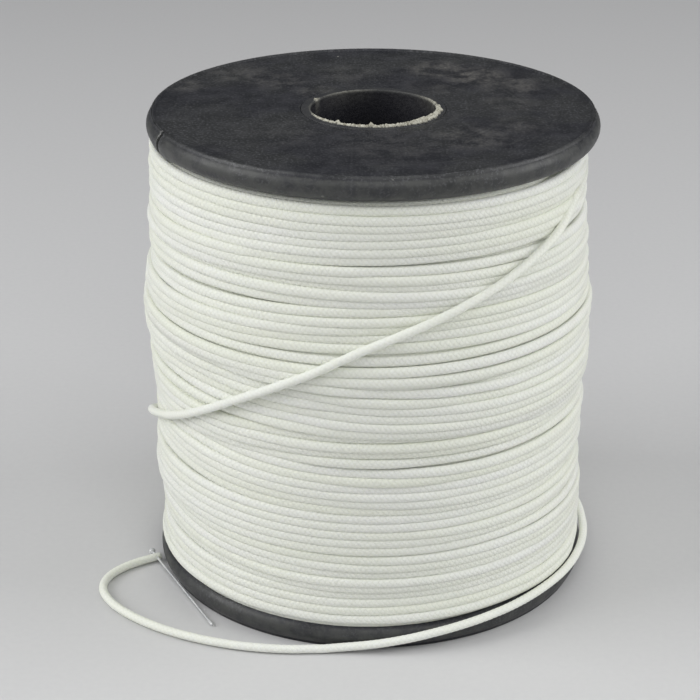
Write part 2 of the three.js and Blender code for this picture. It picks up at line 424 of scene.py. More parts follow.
def wind_the_reel(line):
    """Two layers of turns: one going down, and over it the one that shows, going up."""
    rng = np.random.default_rng(7)
    loose_clock = -np.arctan2(line[:2, 1], line[:2, 0])
    loose_slope = (line[1, 2] - line[0, 2]) / (loose_clock[1] - loose_clock[0])
    start = loose_clock[0] - TAU * TURNS
    clock = start + (np.arange(TURNS * TURN_STEPS) + 1) * TAU / TURN_STEPS
    inner_face = RIM_T + STRING_R + 0.1 * MM
    low, high = TABLE + inner_face, TOP - inner_face

    def bed(height):
        return outside(height, clock) - BED_DEPTH

    under = np.clip(layer_heights(rng, clock, high, low, np.zeros(len(clock))), low, high)
    under_radius = lay(under, bed(under), [])
    lowest, highest = seats(clock)
    pitch = (high - low) / TURNS
    over = layer_heights(rng, clock, lowest.min() - 0.45 * pitch, highest.max(), band_lean(clock))
    over = come_down(lifted(np.clip(over, lowest, highest), clock), line[0, 2], loose_slope)
    over_radius = lay(over, bed(over), as_passes(under, under_radius))
    excess = over_radius + STRING_R - outside(over, clock)
    # How far out most turns lie at each height, which is then brought to the winding's outside.
    heights = np.linspace(low, high, 26)
    typical = np.array([np.median(excess[np.abs(over - h) < 3 * MM]) for h in heights])
    typical = blurred(typical, 2) + TYPICAL_SINK
    over_radius = trimmed(rng, over, clock, excess - np.interp(over, heights, typical))
    rising = smooth_step((clock - clock[-1]) / RISING + 1)
    over_radius += rising * (np.hypot(*line[0, :2]) - over_radius)
    start_share = np.clip(1 - (clock - clock[0]) / RISING, 0, 1)
    under_radius = under_radius - np.interp(under, heights, typical) - BURIED * start_share
    return clock, (under, under_radius), (over, over_radius)


def trimmed(rng, height, clock, excess):
    """Middle radii of turns at the winding's outside, from how far each would stand out of it."""
    excess = excess - UNEVEN * 0.5 * (1 + np.sin(wander(rng, 0.9, 2.5)))
    proud = PROUD * (1 - np.exp(-np.maximum(excess, 0) / PROUD))
    return outside(height, clock) - STRING_R + np.where(excess > 0, proud, excess)


def on_reel(clock, height, radius):
    """Points, and the directions away from the axis, at angles clockwise from +X."""
    outward = np.stack([np.cos(clock), -np.sin(clock), np.zeros(len(clock))], -1)
    middle = outward * radius[:, None]
    middle[:, 2] = height
    return middle, outward


def skin_angles(shown, hidden, reach):
    """Turns around the string: close together on the side that shows, and sparse behind it."""
    front = np.linspace(-reach, reach, shown)
    back = np.linspace(reach, 1 - reach, hidden + 2)[1:-1]
    return np.concatenate([front, back])


def winding_objects(clock, under, middle, outward, lengths):
    """The layer that shows, the layer under it, and the core behind them."""
    kept = np.arange(len(middle) - 1, -1, -2)[::-1]  # every second step is fine enough to draw
    skin = skin_angles(13, 2, 0.36)
    to_end = (lengths[-1] - lengths[kept])[:, None]
    free = np.clip(1 - (to_end - LAP) / (RISING * RIM_R), 0, 1)
    shape = (pressed(skin)[None] * (1 - free) + free) * fading(to_end)
    made = [cord("winding_turns", middle[kept], outward[kept], skin, lengths[kept[0]], shape=shape)]
    middle, outward = on_reel(clock, *under)
    skin = skin_angles(7, 1, 0.32)
    made.append(cord("winding_under", middle[::2], outward[::2], skin, shape=pressed(skin)))
    core = [[r - CORE_DEPTH, z] for z, r in zip(LEVELS, ENVELOPE)]
    back = 2 * MM
    outline = core + [[core[-1][0] - back, core[-1][1]], [core[0][0] - back, core[0][1]]]
    made.append(turned_object("winding_core", outline, 96))
    return made


def fading(to_end):
    """A string's radius, as a share, where it runs on inside another that carries on from it."""
    return 0.94 + 0.06 * np.clip(to_end / LAP, 0, 1)


# ---- the loose string ----

RING_REACH = 0.6 * MM  # neighbouring points of one ring of a CAD string are closer than this


def ring_middles(node):
    """The middles of the rings of points that a CAD string's skin is made of, in no order."""
    points = np.unique(np.round(node_points(node), 7), axis=0)
    apart = np.linalg.norm(points[:, None] - points[None], axis=2)
    waiting = set(range(len(points)))
    middles = []
    while waiting:
        ring = [waiting.pop()]
        for i in ring:
            near = [j for j in waiting if apart[i, j] < RING_REACH]
            waiting.difference_update(near)
            ring += near
        middle = points[ring].mean(0)
        if abs(np.linalg.norm(points[ring] - middle, axis=1) / STRING_R - 1).max() < 0.15:
            middles.append(middle)
    return middles


def loose_line(spacing):
    """The middle line of the whole loose string, from the winding to its cut end."""
    waiting = ring_middles("loose_turn") + ring_middles("free_end")
    line = [max(waiting, key=lambda point: point[2])]
    while True:
        waiting = [point for point in waiting if np.linalg.norm(point - line[-1]) > RING_REACH]
        if not waiting:
            break
        line.append(min(waiting, key=lambda point: np.linalg.norm(point - line[-1])))
    ahead = unit(line[-1] - line[-2])
    beyond = node_points("free_end") - line[-1]
    near = beyond[np.linalg.norm(beyond, axis=1) < 3 * MM]
    line.append(line[-1] + ahead * (near @ ahead).max())
    return through(np.array(line), spacing)


def through(points, spacing):
    """Points close together on a smooth curve through the given ones."""
    steps = np.linalg.norm(np.diff(points, axis=0), axis=1)
    at = np.concatenate([[0], np.cumsum(steps)])
    slope = np.gradient(points, at, axis=0)
    wanted = np.linspace(0, at[-1], int(at[-1] / spacing))
    i = np.clip(np.searchsorted(at, wanted) - 1, 0, len(steps) - 1)
    width = steps[i][:, None]
    t = ((wanted - at[i]) / steps[i])[:, None]
    value = points[i] * (2 * t**3 - 3 * t**2 + 1) + points[i + 1] * (3 * t**2 - 2 * t**3)
    return value + width * (slope[i] * (t**3 - 2 * t**2 + t) + slope[i + 1] * (t**3 - t**2))


def laid_on_winding(line):
    """The loose line, moved to lie on the winding where that is out of true. It starts sunk among
    the turns and comes out over a short way. Where the winding is further in, on the right, it also
    moves down, so that it crosses the winding along the same slant."""
    clock = np.unwrap(-np.arctan2(line[:, 1], line[:, 0]))
    above_rim = np.clip((line[:, 2] - TABLE - RIM_T) / (0.6 * MM), 0, 1)
    high = np.clip((line[:, 2] - TABLE - 12 * MM) / (10 * MM), 0, 1)
    on_top = outside(line[:, 2], clock) + STRING_R + 0.05 * MM
    sunk = SUNK * (1 - smooth_step((clock - clock[0]) / RISING))
    room = on_top - np.hypot(line[:, 0], line[:, 1])
    moved = line + unit(line * [1, 1, 0]) * (room * above_rim - sunk)[:, None]
    slant = 0.95  # how far down it moves for each millimetre inward
    moved[:, 2] += slant * np.minimum(room, 0) * high
    return moved


def joint(name):
    return next(each for each in frame["joints"] if each["name"] == name)


LOOSE_STEP = 0.13 * MM
LOOSE_SIDES = 24


def loose_object(line, before, lap):
    """The loose turn and the free end, one cord that bends where it leaves the rim."""
    swing = Vector(joint("free_end_swing")["pos_m"])
    split = int(np.linalg.norm(line - np.array(swing), axis=1).argmin())
    lying = np.clip((np.arange(len(line)) - split) * LOOSE_STEP / (8 * MM), 0, 1)[:, None]
    outward = unit((1 - lying) * unit(line * [1, 1, 0]) + lying * [0, 0, 1])
    skin = np.arange(LOOSE_SIDES) / LOOSE_SIDES
    to_end = np.arange(len(line))[::-1] * LOOSE_STEP
    # The cut end was sealed with heat, which drew it in a little and left it round.
    near_cut_end = 0.9 + 0.1 * np.clip(to_end / (1.6 * MM), 0, 1)
    rounded = np.sqrt(np.clip(1 - (1 - np.clip(to_end / (0.35 * MM), 0, 1)) ** 2, 0.05, 1))
    shape = near_cut_end * (0.45 + 0.55 * rounded) * fading(to_end[0] - to_end)
    made = cord("loose_cord", line, outward, skin, before - lap, BRAID_DEPTH, shape[:, None])
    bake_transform(made)
    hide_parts("loose_turn", "free_end")
    return made


# ---- flanges ----

FLANGE_SEGMENTS = 288


def flange_outline():
    """[radius, depth below the edge line] from the hole out over the face and round the rim."""
    bead = RIM_T / 2
    bead_r = RIM_R - bead
    line = EDGE_LINE_R
    thin = 0.05 * MM
    outline = [
        [HUB_HOLE_R, WEB_T + FACE_SINK],
        [HUB_HOLE_R, FACE_SINK + 1.3 * MM],
        [LIP_SEAT_R - 0.03 * MM, FACE_SINK + 0.15 * MM],
        [LIP_SEAT_R, FACE_SINK + 0.02 * MM],
    ]
    outline += [[r, FACE_SINK] for r in np.linspace(LIP_SEAT_R + 0.2 * MM, line - 0.55 * MM, 22)]
    outline += [
        [line - 0.36 * MM, FACE_SINK],
        [line - 0.26 * MM, FACE_SINK - 0.25 * MM],
        [line - 0.18 * MM, thin],
        [line - 0.1 * MM, thin],
        [line - 0.03 * MM, 0.2 * MM],
        [line + 0.03 * MM, 0.2 * MM],
        [line + 0.1 * MM, 0.08 * MM],
        [line + 0.17 * MM, 0.08 * MM],
    ]
    steps = 26
    first = math.radians(-51)
    for i in range(steps + 1):
        a = first + (math.pi / 2 - first) * i / steps
        outline.append([bead_r + bead * math.cos(a), bead + bead * math.sin(a)])
    outline.append([bead_r - 1 * MM, RIM_T])
    outline.append([bead_r - 2 * MM, WEB_T + FACE_SINK])
    return np.array(outline)


def moulded(made, rng, up):
    """The slight waviness of a moulded disc: the face and rim are never quite true."""
    points = np.array([v.co for v in made.data.vertices])
    angle = np.arctan2(points[:, 1], points[:, 0])
    reach = np.hypot(points[:, 0], points[:, 1]) / RIM_R
    lift = np.zeros(len(points))
    for waves in (2, 3, 5):
        lift += rng.uniform(0.02, 0.06) * MM / waves * np.cos(waves * angle + rng.uniform(0, TAU))
    points[:, 2] -= up * np.abs(lift) * reach**2
    pinch = 1 - 0.0012 * np.abs(np.sin(angle + rng.uniform(0, TAU))) * (reach > 0.9)
    points[:, :2] *= pinch[:, None]
    made.data.vertices.foreach_set("co", points.ravel())


SLIT_ANGLE = math.radians(-156)
SLIT_W = 1.1 * MM
SLIT_DROOP = 0.5 * MM  # cutting it has pushed the rim's lower edge down beside it
SLIT_DEPTH = 1.3 * MM


def cut_slit(made):
    """A slit through the rim, in which the string's end can be jammed."""
    rng = np.random.default_rng(3)
    rows = 9
    height = np.linspace(TOP + 1 * MM, TOP - RIM_T - 1 * MM, rows)
    lean = 0.16 * (height - TOP) + rng.normal(0, 0.03 * MM, rows)
    half = SLIT_W / 2 * np.linspace(0.75, 1.2, rows)
    inner, outer = RIM_R - SLIT_DEPTH, RIM_R + 1 * MM
    points = []
    for z, shift, w in zip(height, lean, half):
        points += [
            [inner, shift - w * 0.6, z],
            [outer, shift - w, z],
            [outer, shift + w, z],
            [inner, shift + w * 0.6, z],
        ]
    ends = [[0, 1, 2, 3], [4 * rows - i for i in (1, 2, 3, 4)]]
    faces = grid_faces(rows, 4)[:, ::-1].tolist() + ends
    cutter = mesh_object("slit_cutter", points, faces, smooth=False)
    cutter.data.transform(Matrix.Rotation(SLIT_ANGLE, 4, "Z"))
    shell = bmesh.new()
    shell.from_mesh(cutter.data)
    bmesh.ops.recalc_face_normals(shell, faces=shell.faces)
    shell.to_mesh(cutter.data)
    shell.free()
    cut = made.modifiers.new("slit", "BOOLEAN")
    cut.object = cutter
    cut.solver = "EXACT"
    apply_modifiers(made)
    bpy.data.objects.remove(cutter)


def droop(made):
    """The rim's lower edge, pushed down a little beside the slit."""
    points = np.array([v.co for v in made.data.vertices])
    beside = (np.arctan2(points[:, 1], points[:, 0]) - SLIT_ANGLE) * RIM_R / (4 * MM)
    low = np.clip((TOP - RIM_T / 2 - points[:, 2]) / (RIM_T / 2), 0, 1)
    low *= np.hypot(points[:, 0], points[:, 1]) > RIM_R - RIM_T
    points[:, 2] -= SLIT_DROOP * np.exp(-(beside**2)) * low
    made.data.vertices.foreach_set("co", points.ravel())


def apply_modifiers(made):
    graph = bpy.context.evaluated_depsgraph_get()
    applied = bpy.data.meshes.new_from_object(made.evaluated_get(graph))
    made.modifiers.clear()
    made.data = applied


def flange_object(name, node, up, seed):
    """A flange in place: up is 1 for the top one, which is slit, and -1 for the other."""
    outline = flange_outline()
    edge = TOP if up > 0 else TABLE
    placed = np.stack([outline[:, 0], edge - up * outline[:, 1]], -1)
    if up > 0:
        placed = placed[::-1]
    made = turned_object(name, placed, FLANGE_SEGMENTS)
    moulded(made, np.random.default_rng(seed), up)
    if up > 0:
        droop(made)
        cut_slit(made)
    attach(made, "reel")
    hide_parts(node)
    return made


# ---- hub ----

HUB_SEGMENTS = 480
BURR_W = 1.0 * MM  # the burr round the upper edge of the bore, where it is at its widest
BURR_H = 0.6 * MM

# The burr by degrees clockwise from +X: how much of it is left, as a share.
BURR = [
    (0, 0.5), (12, 0.75), (30, 1), (50, 1), (68, 0.8), (80, 0.6), (92, 0.48), (125, 0.4),
    (150, 0.28), (165, 0.06), (200, 0.03), (205, 0.3), (212, 0.03), (240, 0.1), (262, 0.06),
    (275, 0.02), (312, 0.04), (330, 0.13), (345, 0.25), (350, 0.12), (355, 0.4), (360, 0.5),
]
BURR_NIBS = [(92, 0.4), (123, 0.35)]  # where it sticks up and out over the bore, in millimetres


def hub_rings():
    """Radius, height and burr share of the hub tube: one row round the tube, one column per point."""
    rng = np.random.default_rng(5)
    degrees = np.arange(HUB_SEGMENTS) / HUB_SEGMENTS * 360
    left = np.interp(degrees, *zip(*BURR))[:, None]
    ragged = left * (1 + 0.35 * rng.normal(0, 1, (HUB_SEGMENTS, 1)))
    ragged = np.clip((ragged + np.roll(ragged, 1, 0)) / 2, 0, 1.3)
    nib = sum(size * MM * np.exp(-((degrees - at) / 1.6) ** 2) for at, size in BURR_NIBS)[:, None]
    web = WEB_T + FACE_SINK + 0.1 * MM
    face = TOP - FACE_SINK
    foot = TABLE + FACE_SINK
    barrel_r = 15 * MM
    # Each point: radius, burr width that it takes, height, burr height that it takes, burr colour.
    outline = [
        (barrel_r, 0, TOP - web, 0, 0),
        (NECK_R, 0, TOP - web, 0, 0),
        (NECK_R, 0, face - 1.3 * MM, 0, 0),
        (LIP_SEAT_R - 0.07 * MM, 0, face - 0.15 * MM, 0, 0),
        (LIP_SEAT_R - 0.1 * MM, 0, face + 0.02 * MM, 0, 0),
        (LIP_SEAT_R - 0.25 * MM, 0, face + 0.07 * MM, 0, 0),
        (BORE_R + 0.25 * MM, 1.0, face + 0.07 * MM, 0, 0),
        (BORE_R + 0.2 * MM, 0.92, face + 0.08 * MM, 0.35, 1),
        (BORE_R + 0.17 * MM, 0.7, face + 0.09 * MM, 0.85, 1),
        (BORE_R + 0.12 * MM, 0.45, face + 0.09 * MM, 1.0, 1),
        (BORE_R + 0.08 * MM, 0.2, face + 0.08 * MM, 0.8, 1),
        (BORE_R + 0.03 * MM, -0.05, face + 0.04 * MM, 0.45, 1),
        (BORE_R, -0.1, face - 0.03 * MM, 0.1, 1),
        (BORE_R, 0, face - 0.3 * MM, 0, 0.2),
        (BORE_R, 0, face - 3 * MM, 0, 0),
        (BORE_R, 0, foot + 3 * MM, 0, 0),
        (BORE_R, 0, foot, 0, 0),
        (BORE_R + 0.4 * MM, 0, foot - 0.2 * MM, 0, 0),
        (LIP_SEAT_R - 0.4 * MM, 0, foot - 0.2 * MM, 0, 0),
        (LIP_SEAT_R - 0.1 * MM, 0, foot + 0.1 * MM, 0, 0),
        (NECK_R, 0, foot + 1.3 * MM, 0, 0),
        (NECK_R, 0, TABLE + web, 0, 0),
        (barrel_r, 0, TABLE + web, 0, 0),
    ]
    radius, wide, height, tall, burr = (np.array(column)[None] for column in zip(*outline))
    grain = rng.normal(0, 0.09, (HUB_SEGMENTS, len(outline)))
    radius = radius + BURR_W * wide * (ragged + left * grain) - nib * (burr == 1)
    height = height + BURR_H * tall * (ragged + left * grain) + nib * tall
    return radius, height, burr * np.clip(3.3 * left - 0.05, 0, 1)


def hub_object():
    radius, height, burr = hub_rings()
    clock = np.arange(HUB_SEGMENTS)[:, None] / HUB_SEGMENTS * TAU
    points = np.stack([radius * np.cos(clock), -radius * np.sin(clock), height], -1)
    rows, columns = radius.shape
    faces = ring_faces(rows, columns)[:, ::-1].tolist()
    made = mesh_object("hub_tube_moulding", points.reshape(-1, 3), faces)
    layer = made.data.attributes.new("burr", "FLOAT", "POINT")
    layer.data.foreach_set("value", burr.ravel())
    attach(made, "reel")
    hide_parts("hub_tube")
    return made


# ---- pin ----


def pin_object():
    """A moulded nylon pin: ball head, thick neck, drawn shaft and a thicker blunt tip."""
    points = node_points("tag_pin")
    back = unit(np.array(joint("tag_pin_pull")["axis"]))
    centre = points.mean(0)
    ahead = (points - centre) @ back
    head_r, neck_r, shaft_r, tip_r = 0.55 * MM, 0.25 * MM, 0.17 * MM, 0.24 * MM
    length = ahead.max() - ahead.min() - head_r
    head_steps = 14
    stop = math.pi - math.asin(neck_r / head_r)
    profile = [[0, -head_r]]
    for i in range(1, head_steps + 1):
        a = stop * i / head_steps
        profile.append([head_r * math.sin(a), -head_r * math.cos(a)])
    profile += [
        [neck_r, 2.2 * MM],
        [shaft_r * 1.15, 3.4 * MM],
        [shaft_r, 4.4 * MM],
        [shaft_r * 0.92, length / 2],
        [shaft_r, length - 2.2 * MM],
        [tip_r, length - 1.4 * MM],
        [tip_r, length - 0.3 * MM],
        [tip_r * 0.6, length - 0.05 * MM],
        [0, length],
    ]
    made = turned_object("tag_pin_nylon", profile, 24)
    weld(made)
    aim = Vector((0, 0, 1)).rotation_difference(Vector(-back))
    head = centre + back * (ahead.max() - head_r)
    made.data.transform(Matrix.Translation(Vector(head)) @ aim.to_matrix().to_4x4())
    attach(made, "pin")
    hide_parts("tag_pin")
    return made


# ---- materials ----


class Shader:
    """A material's nodes, made with short calls."""

    def __init__(self, name, **surface):
        self.material = bpy.data.materials.new(name)
        self.material.use_nodes = True
        self.tree = self.material.node_tree
        self.surface = self.tree.nodes["Principled BSDF"]
        for key, value in surface.items():
            self.surface.inputs[key.replace("_", " ")].default_value = value

    def feed(self, socket, value):
        if isinstance(value, bpy.types.NodeSocket):
            self.tree.links.new(value, socket)
        else:
            socket.default_value = value

    def node(self, kind, inputs, **settings):
        made = self.tree.nodes.new("ShaderNode" + kind)
        for key, value in settings.items():
            setattr(made, key, value)
        for key, value in inputs.items():
            self.feed(made.inputs[key], value)
        return made

    def math(self, operation, a, b=0.0, clamp=False):
        return self.node("Math", {0: a, 1: b}, operation=operation, use_clamp=clamp).outputs[0]

    def times(self, a, b):
        return self.math("MULTIPLY", a, b)

    def ramp(self, value, low, high, to_low=0.0, to_high=1.0):
        inputs = {0: value, 1: low, 2: high, 3: to_low, 4: to_high}
        return self.node("MapRange", inputs, interpolation_type="SMOOTHSTEP").outputs[0]

    def mix(self, share, a, b):
        return self.node("Mix", {0: share, 6: a, 7: b}, data_type="RGBA").outputs[2]

    def place(self):
        return self.node("TexCoord", {}).outputs["Object"]

    def noise(self, vector, per_metre, detail=2.0, roughness=0.5):
        inputs = {"Vector": vector, "Scale": per_metre, "Detail": detail, "Roughness": roughness}
        return self.node("TexNoise", inputs).outputs[0]

    def specks(self, vector, per_metre):
        """Distance from scattered points, as a share of their spacing."""
        inputs = {"Vector": vector, "Scale": per_metre}
        return self.node("TexVoronoi", inputs).outputs["Distance"]

    def jitter(self, vector, per_metre, size):
        """An offset of at most about size that varies from place to place."""
        noise = self.node("TexNoise", {"Vector": vector, "Scale": per_metre, "Detail": 2.0})
        scaled = {0: noise.outputs["Color"], 3: size}
        return self.node("VectorMath", scaled, operation="SCALE").outputs[0]

    def bump(self, height, distance, strength=1.0, normal=None):
        inputs = {"Height": height, "Distance": distance, "Strength": strength}
        if normal is not None:
            inputs["Normal"] = normal
        return self.node("Bump", inputs).outputs[0]

    def finish(self, **sockets):
        for key, value in sockets.items():
            self.feed(self.surface.inputs[key.replace("_", " ")], value)
        return self.material


def colour(red, green, blue):
    return (red, green, blue, 1)


def braid_nodes(shader):
    """Distance along the string, and the braid's height as in braid_height, from the braid map."""
    uv = shader.node("UVMap", {}, uv_map="braid").outputs[0]
    split = shader.node("SeparateXYZ", {0: uv}).outputs
    picks = shader.times(split[0], math.pi / PICK)
    strands = shader.times(split[1], math.pi * STRANDS)
    one = shader.math("SINE", shader.math("ADD", strands, picks))
    other = shader.math("SINE", shader.math("SUBTRACT", strands, picks))
    on_top = shader.ramp(shader.times(shader.times(one, other), 3), -1, 1)
    first = shader.math("POWER", shader.math("ABSOLUTE", one), 0.6)
    second = shader.math("POWER", shader.math("ABSOLUTE", other), 0.6)
    under = shader.math("SUBTRACT", 1.0, on_top)
    height = shader.math("ADD", shader.times(first, on_top), shader.times(second, under))
    return split[0], height


def string_material(name, relief, shade, cut_at=None):
    """White polyester braid: light goes into it and comes out softened, so its gaps are pale too.
    relief is the braid's depth in the bump, and shade is how far painted shade darkens its gaps.
    Close to cut_at, a distance along the string, it turns greyish."""
    shader = Shader(name, Roughness=0.6, Subsurface_Weight=0.25, Subsurface_Scale=1.2 * MM)
    shader.surface.inputs["Subsurface Radius"].default_value = (0.92, 0.94, 1.1)
    along, height = braid_nodes(shader)
    drift = shader.noise(shader.node("CombineXYZ", {0: along, 1: 0.0, 2: 0.0}).outputs[0], 14, 3)
    place = shader.place()
    cloud = shader.noise(place, 120, 2)
    fibre = shader.noise(place, 5200, 2, 0.6)
    cream, white = colour(0.88, 0.90, 0.79), colour(0.91, 0.92, 0.875)
    lit = shader.mix(shader.ramp(drift, 0.35, 0.65), cream, white)
    lit = shader.mix(shader.ramp(cloud, 0.35, 0.75, 0, 0.5), lit, colour(0.88, 0.905, 0.81))
    # Painted shade: the braid's low parts, between its strands, are painted darker.
    painted_gap_shade = shader.mix(shade, lit, colour(0.55, 0.58, 0.46))
    base = shader.mix(shader.ramp(height, 0.1, 0.85), painted_gap_shade, lit)
    base = shader.mix(shader.ramp(fibre, 0.3, 0.7, 0.08, 0), base, colour(0.45, 0.47, 0.42))
    if cut_at:
        # The string turns greyer over the last 1.5 mm before its cut end.
        near_cut_end = shader.ramp(along, cut_at - 1.5 * MM, cut_at - 0.3 * MM, 0, 0.4)
        base = shader.mix(near_cut_end, base, colour(0.42, 0.43, 0.40))
    bumps = shader.math("ADD", height, shader.times(fibre, 0.25))
    normal = shader.bump(bumps, relief)
    return shader.finish(Base_Color=base, Normal=normal)


# Where dust has stayed on the flange faces: X and Y, size in millimetres, and how much.
DUST = [
    (11, 23, 6, 0.8), (17, 19, 6, 1), (22.5, 13.5, 6, 0.7), (22, 3, 5, 0.35), (15, -15, 7, 0.5),
    (22.7, -9, 5, 0.4), (-22, 19, 6, 0.45), (-16, 16, 6, 0.4), (-31, 12, 4, 0.5), (-4, 19.5, 6, 0.3),
    (-9, 9, 4, 0.5), (2, -20, 9, 0.25), (-14, -14, 8, 0.15), (10, 12, 5, 0.3),
]


def dusty_places(shader, flat):
    """0 to 1: where the flange's faces are dusty."""
    total = 0.0
    for x, y, size, much in DUST:
        spot = {0: flat, 1: (x * MM, y * MM, 0)}
        away = shader.node("VectorMath", spot, operation="DISTANCE").outputs["Value"]
        spread = shader.ramp(away, 0.35 * size * MM, 1.25 * size * MM, much, 0)
        total = shader.math("MAXIMUM", total, spread)
    return total


def black_plastic_material():
    """Moulded charcoal plastic: mottled, dusty, with faint rings and a few bright specks; its rim bead
    is painted lighter, partly as rubbing and partly as painted highlight.
    """
    shader = Shader("black_plastic_dusty")
    place = shader.place()
    flat = shader.node("VectorMath", {0: place, 1: (1, 1, 0)}, operation="MULTIPLY").outputs[0]
    reach = shader.node("VectorMath", {0: flat}, operation="LENGTH").outputs["Value"]
    mottle = shader.noise(place, 260, 5, 0.62)
    blotch = shader.noise(place, 70, 3, 0.55)
    grain = shader.noise(place, 1700, 3, 0.62)
    dark, pale = colour(0.009, 0.010, 0.014), colour(0.024, 0.025, 0.031)
    base = shader.mix(shader.ramp(mottle, 0.35, 0.68), dark, pale)
    warm = shader.times(shader.ramp(blotch, 0.42, 0.6), 0.35)
    base = shader.mix(warm, base, colour(0.038, 0.040, 0.035))
    base = shader.mix(turned_rings(shader, place, reach), base, colour(0.085, 0.086, 0.082))
    in_grain = shader.ramp(grain, 0.4, 0.68, 0.35, 1)
    in_mottle = shader.ramp(mottle, 0.38, 0.6, 0.1, 1)
    dusting = shader.times(dusty_places(shader, flat), shader.times(in_grain, in_mottle))
    base = shader.mix(shader.times(dusting, 0.6), base, colour(0.20, 0.19, 0.165))
    fine = shader.ramp(shader.noise(place, 2400, 3, 0.7), 0.53, 0.61)
    everywhere = shader.times(fine, shader.ramp(blotch, 0.35, 0.7, 0.35, 0.85))
    base = shader.mix(everywhere, base, colour(0.092, 0.093, 0.10))
    base = shader.mix(pale_specks(shader, place), base, colour(0.36, 0.355, 0.32))
    base = shader.mix(slit_burr(shader, place, reach), base, colour(0.17, 0.17, 0.165))
    # The raised double line is painted paler, patchy with the mottle.
    paler_edge_line = shader.times(edge_line(shader, place, reach), shader.ramp(mottle, 0.38, 0.62, 0.1, 0.6))
    base = shader.mix(paler_edge_line, base, colour(0.10, 0.102, 0.10))
    # Painted highlight: the rim bead is painted lighter in patches, partly rubbing and partly standing
    # in for the side lights' broad sheen.
    on_rim = shader.ramp(reach, EDGE_LINE_R + 0.2 * MM, EDGE_LINE_R + 0.5 * MM)
    rim_sheen_and_rubbing = shader.ramp(shader.noise(place, 420, 3, 0.6), 0.35, 0.65, 0.2, 0.85)
    base = shader.mix(shader.times(on_rim, rim_sheen_and_rubbing), base, colour(0.058, 0.060, 0.056))
    roughness = shader.ramp(mottle, 0.3, 0.75, 0.4, 0.58)
    roughness = shader.math("ADD", roughness, shader.times(dusting, 0.35), clamp=True)
    normal = shader.bump(grain, 0.02 * MM)
    normal = shader.bump(mottle, 0.06 * MM, 1.0, normal)
    return shader.finish(Base_Color=base, Roughness=roughness, Normal=normal)


def turned_rings(shader, place, reach):
    """0 to 0.3: faint broken rings round the flange's faces, left by the mould."""
    split = shader.node("SeparateXYZ", {0: place}).outputs
    angle = shader.math("ARCTAN2", split[1], split[0])
    stretched = {0: shader.times(reach, 1500), 1: angle, 2: 0.0}
    round_place = shader.node("CombineXYZ", stretched).outputs[0]
    return shader.times(shader.ramp(shader.noise(round_place, 1.0, 3, 0.6), 0.56, 0.74), 0.3)


def pale_specks(shader, place):
    """0 to 0.8: a few specks of lint, of uneven shape."""
    offset = {0: place, 1: shader.jitter(place, 900, 0.5 * MM)}
    bent = shader.node("VectorMath", offset, operation="ADD").outputs[0]
    return shader.times(shader.ramp(shader.specks(bent, 115), 0.02, 0.04, 1, 0), 0.8)


def edge_line(shader, place, reach):
    """0 to 1: the raised double line near the edge of a flange's outer face."""
    pitch = 0.27 * MM
    turns = shader.times(shader.math("SUBTRACT", reach, EDGE_LINE_R), TAU / pitch)
    double = shader.ramp(shader.math("SINE", turns), -0.6, 0.6, 0.3, 1)
    edge = shader.ramp(reach, EDGE_LINE_R - 0.22 * MM, EDGE_LINE_R - 0.12 * MM)
    beyond = shader.ramp(reach, EDGE_LINE_R + 0.12 * MM, EDGE_LINE_R + 0.22 * MM, 1, 0)
    high = shader.math("ABSOLUTE", shader.node("SeparateXYZ", {0: place}).outputs[2])
    outer = shader.math("GREATER_THAN", high, TOP - 0.4 * MM)
    return shader.times(shader.times(edge, beyond), shader.times(double, outer))


def slit_burr(shader, place, reach):
    """0 to 1: the pale raw edge that cutting left along one side of the slit."""
    across = (math.sin(SLIT_ANGLE), -math.cos(SLIT_ANGLE), 0)
    off = shader.node("VectorMath", {0: place, 1: across}, operation="DOT_PRODUCT").outputs["Value"]
    side = shader.ramp(off, SLIT_W * 0.3, SLIT_W * 0.5)
    side = shader.times(side, shader.ramp(off, SLIT_W * 0.7, SLIT_W * 1.2, 1, 0))
    ahead = (math.cos(SLIT_ANGLE), math.sin(SLIT_ANGLE), 0)
    out = shader.node("VectorMath", {0: place, 1: ahead}, operation="DOT_PRODUCT").outputs["Value"]
    on_rim = shader.ramp(out, RIM_R - SLIT_DEPTH - 0.2 * MM, RIM_R - SLIT_DEPTH + 0.2 * MM)
    high = shader.node("SeparateXYZ", {0: place}).outputs[2]
    on_rim = shader.times(on_rim, shader.math("GREATER_THAN", high, 0.0))
    rough = shader.ramp(shader.noise(place, 1500, 2), 0.35, 0.6, 0.4, 0.9)
    return shader.times(shader.times(side, on_rim), rough)


def hub_material():
    """The flanges' plastic, with painted shade making it much darker in the bore, and the burr
    stressed white by the flaring.
    """
    shader = Shader("hub_plastic_burred")
    place = shader.place()
    split = shader.node("SeparateXYZ", {0: place}).outputs
    burr = shader.node("Attribute", {}, attribute_name="burr").outputs["Fac"]
    grain = shader.noise(place, 1800, 4, 0.65)
    mottle = shader.noise(place, 260, 5, 0.62)
    # Painted shade: below the face, inside the bore, the plastic is painted much darker than the face.
    top = shader.ramp(split[2], TOP - FACE_SINK - 0.6 * MM, TOP - FACE_SINK - 0.05 * MM)
    dark = shader.mix(grain, colour(0.006, 0.006, 0.010), colour(0.012, 0.012, 0.016))
    plain, pale = colour(0.024, 0.025, 0.029), colour(0.043, 0.044, 0.045)
    face = shader.mix(shader.ramp(mottle, 0.35, 0.68), plain, pale)
    base = shader.mix(top, dark, face)
    dull, bright = colour(0.30, 0.285, 0.22), colour(0.62, 0.61, 0.52)
    white = shader.mix(shader.ramp(grain, 0.35, 0.65), dull, bright)
    base = shader.mix(burr, base, white)
    roughness = shader.math("ADD", shader.ramp(grain, 0.3, 0.7, 0.45, 0.65), shader.times(burr, 0.2))
    normal = shader.bump(grain, 0.08 * MM)
    return shader.finish(Base_Color=base, Roughness=roughness, Normal=normal)


